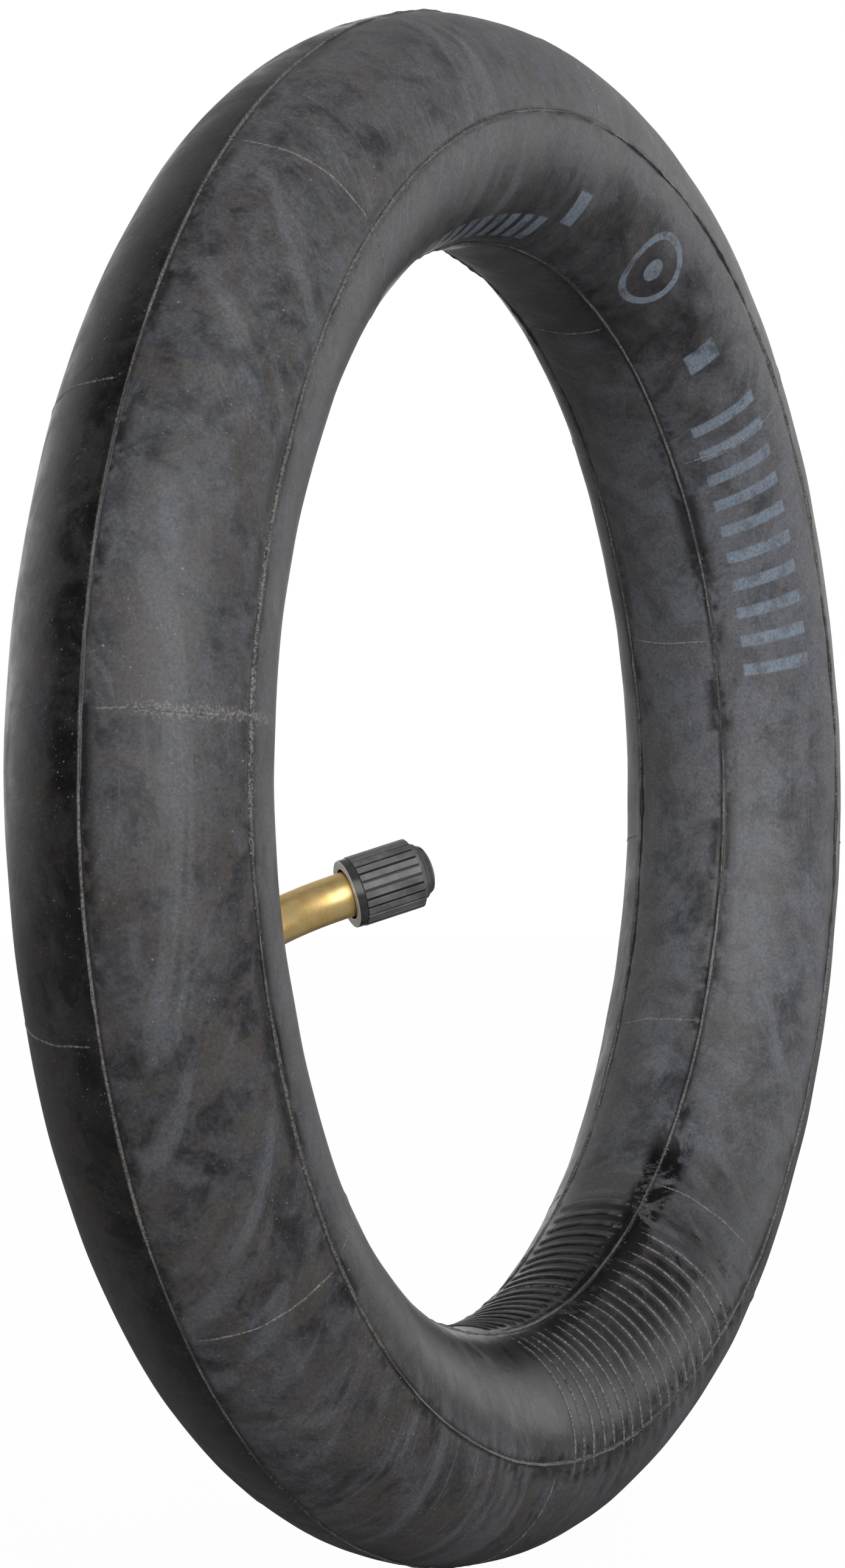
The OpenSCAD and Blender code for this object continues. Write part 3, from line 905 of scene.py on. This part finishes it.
def makeCap(material):
    ribsLow = cap["mouthHeight"] + cap["collarLength"]
    ribsTop = ribsLow + cap["ribsLength"]
    outline = roundCorners([
        (0, cap["crown"], 0), (2.5, cap["crown"], 0.8), (3.55, 2.05, 0.8), (3.95, 1.2, 0.3),
        (4.25, 1.0, 0.25), (4.55, 0.4, 0.8), (4.75, ribsTop, 0.1), (cap["floorRadius"], ribsTop, 0.05),
        (cap["floorRadius"], ribsLow, 0.05), (cap["collarRadius"], ribsLow, 0.12),
        (cap["collarRadius"], cap["mouthHeight"], 0.18), (cap["boreRadius"], cap["mouthHeight"], 0.12),
        (cap["boreRadius"], cap["roof"], 0.1), (0, cap["roof"], 0)])
    body = spinPiece("cap_body", outline, mouth, tipDirection, tipSide, material, 96)
    ridePiece(body, "cap", "cap_plastic", "cap_shell")
    sunk = 0.3
    depth = cap["radius"] - cap["floorRadius"] + sunk
    ribs = growPiece("cap_ribs", ribTree(), {
        "Count": cap["ribs"], "Radius": (cap["radius"] - depth / 2) * mm,
        "Size": Vector((depth, cap["ribWidth"], cap["ribsLength"])) * mm,
        "Level": (ribsLow + ribsTop) / 2 * mm, "Origin": mouth, "Across": tipSide,
        "Other": tipDirection.cross(tipSide), "Axis": tipDirection, "Material": material})
    edges = ribs.modifiers.new("edges", "BEVEL")
    edges.width = 0.06 * mm
    edges.segments = 2
    edges.limit_method = "ANGLE"
    ridePiece(ribs, "cap", "cap_plastic", "cap_shell")


# Metal, plastic and seal finishes

def brassFinish(name, tarnished=True):
    material, graph = newMaterial(name)
    place = graph.add("ShaderNodeTexCoord", out="Object")
    blush = graph.noise(place, 420.0, 5.0, 0.65)
    speck = graph.noise(place, 3800.0, 3.0, 0.7)
    drawn = graph.noise(graph.stretched(place, (0, 18, 50), (300, 3600, 3600)), 1.0, 2.0)
    base = graph.tint(graph.step(blush, 0.35, 0.7), colour(1.0, 0.74, 0.34), colour(0.92, 0.62, 0.22))
    away = graph.vector("DISTANCE", place, tuple(footPoint), 1)
    low = graph.step(away, 26 * mm, 15 * mm) if tarnished else 0.15
    spots = graph.step(speck, 0.52, 0.7) * graph.step(blush, 0.4, 0.62) * (0.12 + 0.55 * low)
    base = graph.tint(spots, base, colour(0.32, 0.18, 0.06))
    roughness = 0.37 + (drawn - 0.5) * 0.16 + spots * 0.25 + (blush - 0.5) * 0.12
    relief = graph.bump(drawn + speck * 0.5, 0.012 * mm, 0.5)
    closeMaterial(graph, {"Base Color": base, "Metallic": 0.72, "Roughness": roughness, "Normal": relief})
    return material


def steelFinish():
    material, graph = newMaterial("spring_steel")
    place = graph.add("ShaderNodeTexCoord", out="Object")
    fine = graph.noise(place, 3000.0, 3.0)
    base = graph.tint(fine, colour(0.42, 0.42, 0.44), colour(0.62, 0.62, 0.64))
    closeMaterial(graph, {"Base Color": base, "Metallic": 1.0, "Roughness": 0.22 + fine * 0.15})
    return material


def capFinish():
    material, graph = newMaterial("cap_plastic")
    place = graph.add("ShaderNodeTexCoord", out="Object")
    fine = graph.noise(place, 3800.0, 3.0, 0.7)
    cloudy = graph.noise(place, 300.0, 4.0, 0.6)
    base = graph.tint(graph.step(cloudy, 0.3, 0.75), colour(0.10, 0.10, 0.101), colour(0.21, 0.21, 0.21))
    rubbed = graph.step(graph.noise(place, 900.0, 5.0, 0.8), 0.6, 0.78)
    base = graph.tint(rubbed * 0.35, base, colour(0.12, 0.12, 0.12))
    # height along the cap, and distance from its middle line
    offset = graph.vector("SUBTRACT", place, tuple(mouth))
    level = graph.vector("DOT_PRODUCT", offset, tuple(tipDirection), 1)
    away = graph.vector("DISTANCE", offset, graph.scaled(tuple(tipDirection), level), 1)
    low = cap["mouthHeight"]
    # painted reflection: the mouth's end face, where the bright backdrop would be reflected
    lipReflection = graph.step(level, (low + 0.1) * mm, (low + 0.04) * mm)
    collar = graph.step(level, (low + cap["collarLength"] + 0.05) * mm, (low + cap["collarLength"]) * mm)
    # painted shade: the floor between the ribs, next to its radius
    capGrooveShade = graph.step(away, (cap["floorRadius"] + 0.22) * mm, (cap["floorRadius"] + 0.06) * mm)
    capGrooveShade = capGrooveShade * (1 - collar) * graph.step(level, 0.0, -0.2 * mm)
    dome = graph.step(level, 0.3 * mm, 0.9 * mm)
    # painted reflection: near white on the mouth's end face
    base = graph.tint(lipReflection, base, colour(0.85, 0.85, 0.86))
    # darkened: the floor between the ribs (painted shade), the dome and the collar
    dark = graph.most(capGrooveShade, dome * 0.6, collar * (1 - lipReflection) * 0.7)
    base = graph.tint(dark, base, colour(0.006, 0.006, 0.006))
    roughness = 0.36 + (cloudy - 0.5) * 0.25 + fine * 0.08 - collar * 0.16
    relief = graph.bump(fine, 0.02 * mm, 0.4)
    closeMaterial(graph, {"Base Color": base, "Roughness": roughness, "Normal": relief})
    return material


def sealFinish(name, dark, light):
    material, graph = newMaterial(name)
    place = graph.add("ShaderNodeTexCoord", out="Object")
    fine = graph.noise(place, 1800.0, 4.0, 0.7)
    base = graph.tint(fine, dark, light)
    relief = graph.bump(fine, 0.02 * mm, 0.4)
    closeMaterial(graph, {"Base Color": base, "Roughness": 0.5 + fine * 0.2, "Normal": relief})
    return material


def dressNode(name, material):
    slots = nodes[name].material_slots
    if not slots:
        nodes[name].data.materials.append(material)
    for slot in slots:
        slot.material = material


# Stage, light and camera

stage = {
    "behind": 1.3,            # brightness of the backdrop
    "room": 0.1,              # brightness of the dark room on the camera's side
    "softbox": 3.5,           # brightness of the large soft light
    "softboxTurn": 20.0,      # place of that light: to the right of the camera, and above it
    "softboxRise": 9.0,
    "softboxInner": 20.0,     # angle from its middle to where it fades, and to where it ends
    "softboxOuter": 42.0,
    "cameraTurn": 63.345,
    "cameraHeight": -0.445,
    "cameraRoll": -0.294,
    "cameraDistance": 795.39 * mm,
    "aimRight": -8.01 * mm,
    "aimUp": 0.75 * mm,
    "lens": 112.44,
}


def cameraPlace():
    turn = stage["cameraTurn"] * degree
    rise = stage["cameraHeight"] * degree
    back = Vector((-math.sin(turn) * math.cos(rise), -math.cos(turn) * math.cos(rise), math.sin(rise)))
    right = (-back).cross(Vector((0, 0, 1))).normalized()
    up = right.cross(-back)
    return back * stage["cameraDistance"], right * stage["aimRight"] + up * stage["aimUp"]


def makeCamera():
    seat, target = cameraPlace()
    back = (seat - target).normalized()
    right = (-back).cross(Vector((0, 0, 1))).normalized()
    up = back.cross(right)
    roll = stage["cameraRoll"] * degree
    newRight = right * math.cos(roll) + up * math.sin(roll)
    newUp = up * math.cos(roll) - right * math.sin(roll)
    data = bpy.data.cameras.new("camera")
    data.lens = stage["lens"]
    data.sensor_width = 36.0
    camera = bpy.data.objects.new("camera", data)
    bpy.context.scene.collection.objects.link(camera)
    turned = Matrix((newRight, newUp, back)).transposed().to_4x4()
    camera.matrix_world = Matrix.Translation(seat) @ turned
    bpy.context.scene.camera = camera


def makeWorld():
    world = bpy.data.worlds.new("studio")
    bpy.context.scene.world = world
    world.use_nodes = True
    world.node_tree.nodes.clear()
    graph = Graph(world.node_tree)
    seat, target = cameraPlace()
    forward = (target - seat).normalized()
    direction = graph.add("ShaderNodeTexCoord", out="Generated")
    facing = graph.vector("DOT_PRODUCT", direction, tuple(forward), 1)
    right = forward.cross(Vector((0, 0, 1))).normalized()
    turn = stage["softboxTurn"] * degree
    rise = stage["softboxRise"] * degree
    level = right * math.sin(turn) - forward * math.cos(turn)
    aim = level * math.cos(rise) + Vector((0, 0, math.sin(rise)))
    toBox = graph.vector("DOT_PRODUCT", direction, tuple(aim), 1)
    outer = math.cos(stage["softboxOuter"] * degree)
    inner = math.cos(stage["softboxInner"] * degree)
    box = graph.step(toBox, outer, inner)
    height = graph.split(direction)[2]
    backdrop = graph.step(facing, -0.1, 0.4) * (1 - 0.78 * graph.step(height, 0.05, 0.6))
    glow = stage["room"] + stage["behind"] * backdrop + stage["softbox"] * box
    seen = graph.add("ShaderNodeLightPath", out="Is Camera Ray")
    strength = seen + (1 - seen) * glow
    shader = graph.add("ShaderNodeBackground", {}, {"Color": colour(1, 1, 1), "Strength": strength})
    graph.add("ShaderNodeOutputWorld", {}, {"Surface": shader})


def makeFloor():
    material, graph = newMaterial("floor_white")
    plain = graph.add("ShaderNodeBsdfDiffuse", {}, {"Color": colour(0.4, 0.4, 0.4)})
    bright = graph.add("ShaderNodeEmission", {}, {"Color": colour(1, 1, 1), "Strength": 1.08})
    seen = graph.add("ShaderNodeLightPath", out="Is Camera Ray")
    mixed = graph.add("ShaderNodeMixShader", {}, {0: seen * 0.9, 1: plain, 2: bright})
    graph.add("ShaderNodeOutputMaterial", {}, {"Surface": mixed})
    size = 4.0
    level = -tube["outer"] - 0.6 * mm
    corners = [(-size, -size, level), (size, -size, level), (size, size, level), (-size, size, level)]
    mesh = bpy.data.meshes.new("floor")
    mesh.from_pydata(corners, [], [(0, 1, 2, 3)])
    mesh.materials.append(material)
    floor = bpy.data.objects.new("floor", mesh)
    bpy.context.scene.collection.objects.link(floor)


bpy.context.scene.view_settings.view_transform = "Standard"
makeCamera()
makeWorld()
makeFloor()
print("stage ready")

rubberPlain = rubberFinish("tube_rubber")
rubberDusty = rubberFinish("tube_rubber_dusty", extraTalc=0.6, marked=False)
rubberPad = rubberFinish("pad_rubber", marked=False)
stemBrass = brassFinish("stem_brass")
coreBrass = brassFinish("core_brass", tarnished=False)
capPlastic = capFinish()
blackSeal = sealFinish("seal_rubber", colour(0.012, 0.012, 0.012), colour(0.035, 0.035, 0.035))
redGasket = sealFinish("gasket_red", colour(0.35, 0.03, 0.02), colour(0.5, 0.06, 0.04))
springSteel = steelFinish()
print("finishes ready")

skin = makeSkin(rubberPlain)
makeCrossLines(skin, rubberPlain, rubberDusty)
ridePiece(skin, "tube", "tube_rubber", "tube_body")
print("tube ready")

makePad(rubberPad)
ridePiece(makeStem(stemBrass), "tube", "stem_brass", "valve_stem")
makeWoundWires(stemBrass, springSteel)
makeCap(capPlastic)
for name in ("core_plug", "core_barrel", "core_pin", "core_seat_cup"):
    dressNode(name, coreBrass)
dressNode("core_gasket", redGasket)
dressNode("core_seat_seal", blackSeal)
dressNode("cap_seal", blackSeal)
print("valve ready")
